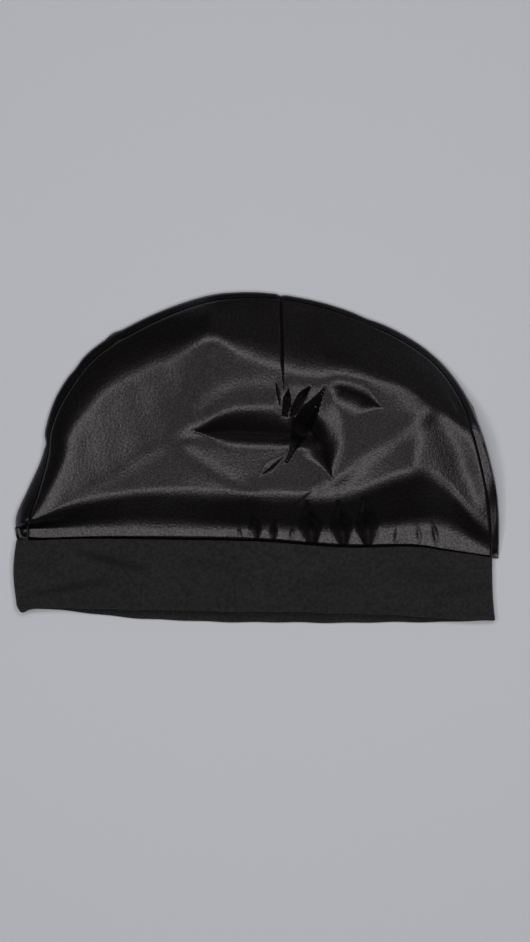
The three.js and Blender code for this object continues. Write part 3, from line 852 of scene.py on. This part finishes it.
def material(name, colour, roughness, specular):
    """A plain finish, with its nodes, links and shader for what is added to it."""
    made = bpy.data.materials.new(name)
    made.use_nodes = True
    shader = made.node_tree.nodes["Principled BSDF"]
    shader.inputs["Base Color"].default_value = (*colour, 1)
    shader.inputs["Roughness"].default_value = roughness
    shader.inputs["Specular IOR Level"].default_value = specular
    shader.inputs["IOR"].default_value = IOR
    return made, made.node_tree.nodes, made.node_tree.links, shader


def pattern_places(nodes):
    """Places in a piece and places on its flat cloth, both in metres."""
    cloth = nodes.new("ShaderNodeUVMap")
    cloth.uv_map = "cloth"
    return nodes.new("ShaderNodeTexCoord").outputs["Object"], cloth.outputs["UV"]


def noise(nodes, links, place, cells, detail):
    """Noise with so many cells to a metre, or so many each way on the cloth."""
    made = nodes.new("ShaderNodeTexNoise")
    made.inputs["Detail"].default_value = detail
    if isinstance(cells, tuple):
        stretched = nodes.new("ShaderNodeMapping")
        stretched.inputs["Scale"].default_value = (*cells, 1)
        links.new(place, stretched.inputs["Vector"])
        place, cells = stretched.outputs["Vector"], 1
    made.inputs["Scale"].default_value = cells
    links.new(place, made.inputs["Vector"])
    return made.outputs["Fac"]


def ramp(nodes, links, value, spread, colours):
    """The two colours where the value is at the two ends of the spread, mixed between them."""
    made = nodes.new("ShaderNodeValToRGB")
    for element, at, colour in zip(made.color_ramp.elements, spread, colours):
        element.position = at
        element.color = (*colour, 1)
    links.new(value, made.inputs["Fac"])
    return made.outputs["Color"]


def bumped(nodes, links, height, distance, under=None):
    """Fine relief, so deep, over the relief under it."""
    made = nodes.new("ShaderNodeBump")
    made.inputs["Strength"].default_value = 1.0
    made.inputs["Distance"].default_value = distance
    links.new(height, made.inputs["Height"])
    if under:
        links.new(under, made.inputs["Normal"])
    return made.outputs["Normal"]


def multiplied(nodes, links, first, second):
    """One colour times another."""
    made = nodes.new("ShaderNodeMix")
    made.data_type = "RGBA"
    made.blend_type = "MULTIPLY"
    made.inputs[MIX_FACTOR].default_value = 1
    links.new(first, made.inputs[MIX_FIRST])
    links.new(second, made.inputs[MIX_SECOND])
    return made.outputs[MIX_RESULT]


def black_satin():
    made, nodes, links, shader = material("black_satin", SATIN_TONE, SATIN_ROUGH, GLOSSY)
    place, cloth = pattern_places(nodes)
    sparkle = bumped(nodes, links, noise(nodes, links, place, SPARKLE_CELLS, 0), SPARKLE)
    threads = noise(nodes, links, cloth, THREAD_CELLS, 1)
    links.new(bumped(nodes, links, threads, THREAD, sparkle), shader.inputs["Normal"])
    shine = noise(nodes, links, place, SHINE_CELLS, 1)
    shine = ramp(nodes, links, shine, SHINE_SPREAD, SATIN_SHINES)
    links.new(shine, shader.inputs["Specular Tint"])
    tone = ramp(nodes, links, noise(nodes, links, place, TONE_CELLS, 2), SPREAD, SATIN_TONES)
    links.new(tone, shader.inputs["Base Color"])
    return made


def black_jersey():
    made, nodes, links, shader = material("black_jersey", JERSEY_TONE, JERSEY_ROUGH, DULL)
    place, cloth = pattern_places(nodes)
    wales = bumped(nodes, links, noise(nodes, links, cloth, WALE_CELLS, 2), WALE)
    fuzz = bumped(nodes, links, noise(nodes, links, place, FUZZ_CELLS, 3), FUZZ, wales)
    links.new(fuzz, shader.inputs["Normal"])
    fine = ramp(nodes, links, noise(nodes, links, place, FINE_CELLS, 2), SPREAD, JERSEY_FINE)
    broad = ramp(nodes, links, noise(nodes, links, place, BROAD_CELLS, 2), SPREAD, JERSEY_BROAD)
    # Painted shade: the jersey's colour is darkened along the band's ripples, by the attribute that
    # band() sets.
    painted_ripple_shade = nodes.new("ShaderNodeAttribute")
    painted_ripple_shade.attribute_name = "painted_ripple_shade"
    ripple_shade_tone = ramp(nodes, links, painted_ripple_shade.outputs["Fac"], (0, 1), JERSEY_PAINTED_SHADE)
    tone = multiplied(nodes, links, multiplied(nodes, links, fine, broad), ripple_shade_tone)
    links.new(tone, shader.inputs["Base Color"])
    shader.inputs["Sheen Weight"].default_value = SHEEN
    shader.inputs["Sheen Roughness"].default_value = SHEEN_ROUGH
    return made


# ---- pieces ----
satin = black_satin()
jersey = black_jersey()
PANEL = (0.285, 0.152)  # flat size in metres of one satin panel, a half oval, then its area
PANEL_AREA = 0.0335
LOOP = (0.53, 0.042)  # the jersey strip, joined into a loop and doubled
for build, node, finish, slot, flat, held, area in (
    (crown_front, "crown_front", satin, "satin", PANEL, "laid", PANEL_AREA),
    (crown_back, "crown_back", satin, "satin", PANEL, "laid", PANEL_AREA),
    (band, "band", jersey, "jersey", LOOP, "folded", None),
):
    piece = build()
    piece.data.materials.append(finish)
    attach(piece, "root")
    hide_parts(node)

# ---- the surface that it lies on ----
FLOOR_HALF = 4.0
FLOOR_CORNERS = ((-1, -1), (1, -1), (1, 1), (-1, 1))
floor_mesh = bpy.data.meshes.new("floor")
floor_points = [(x * FLOOR_HALF, y * FLOOR_HALF, 0) for x, y in FLOOR_CORNERS]
floor_mesh.from_pydata(floor_points, [], [(0, 1, 2, 3)])
floor_mesh.materials.append(material("pale_floor", FLOOR_TONE, FLOOR_ROUGH, DULL)[0])
floor = bpy.data.objects.new("floor", floor_mesh)
SCENE.collection.objects.link(floor)

# ---- lamps ----
LAMPS_AIM = Vector((0, 0, 0.01))
RING = 0.565  # how far the north and south lamps stand from the middle
WIDE_RING = 0.68  # and the east and west ones
HIGH = 1.2
RING_SIZE = (0.95, 0.26)
RING_POWER = 4.2
SKY = (0.9, 0.95, 1, 1)
SKY_STRENGTH = 0.03
LAMPS = [  # name, place, size, power
    ("north", (0, RING, HIGH), RING_SIZE, RING_POWER),
    ("south", (0, -RING, HIGH), RING_SIZE, RING_POWER),
    ("east", (WIDE_RING, 0, HIGH), RING_SIZE, RING_POWER),
    ("west", (-WIDE_RING, 0, HIGH), RING_SIZE, RING_POWER),
    ("top", (0, 0, 1.7), (0.55, 0.55), 0.75),
    ("window", (1.0, 1.3, 0.62), (2.2, 1.0), 1.0),
]
for name, place, size, power in LAMPS:
    data = bpy.data.lights.new(name, "AREA")
    data.shape = "RECTANGLE"
    data.size, data.size_y = size
    data.energy = power
    lamp = bpy.data.objects.new(name, data)
    lamp.location = place
    lamp.rotation_euler = (LAMPS_AIM - Vector(place)).to_track_quat("-Z", "Y").to_euler()
    lamp.visible_camera = False
    SCENE.collection.objects.link(lamp)

world = bpy.data.worlds.new("studio")
world.use_nodes = True
background = world.node_tree.nodes["Background"]
background.inputs["Color"].default_value = SKY
background.inputs["Strength"].default_value = SKY_STRENGTH
SCENE.world = world
SCENE.view_settings.view_transform = "Standard"
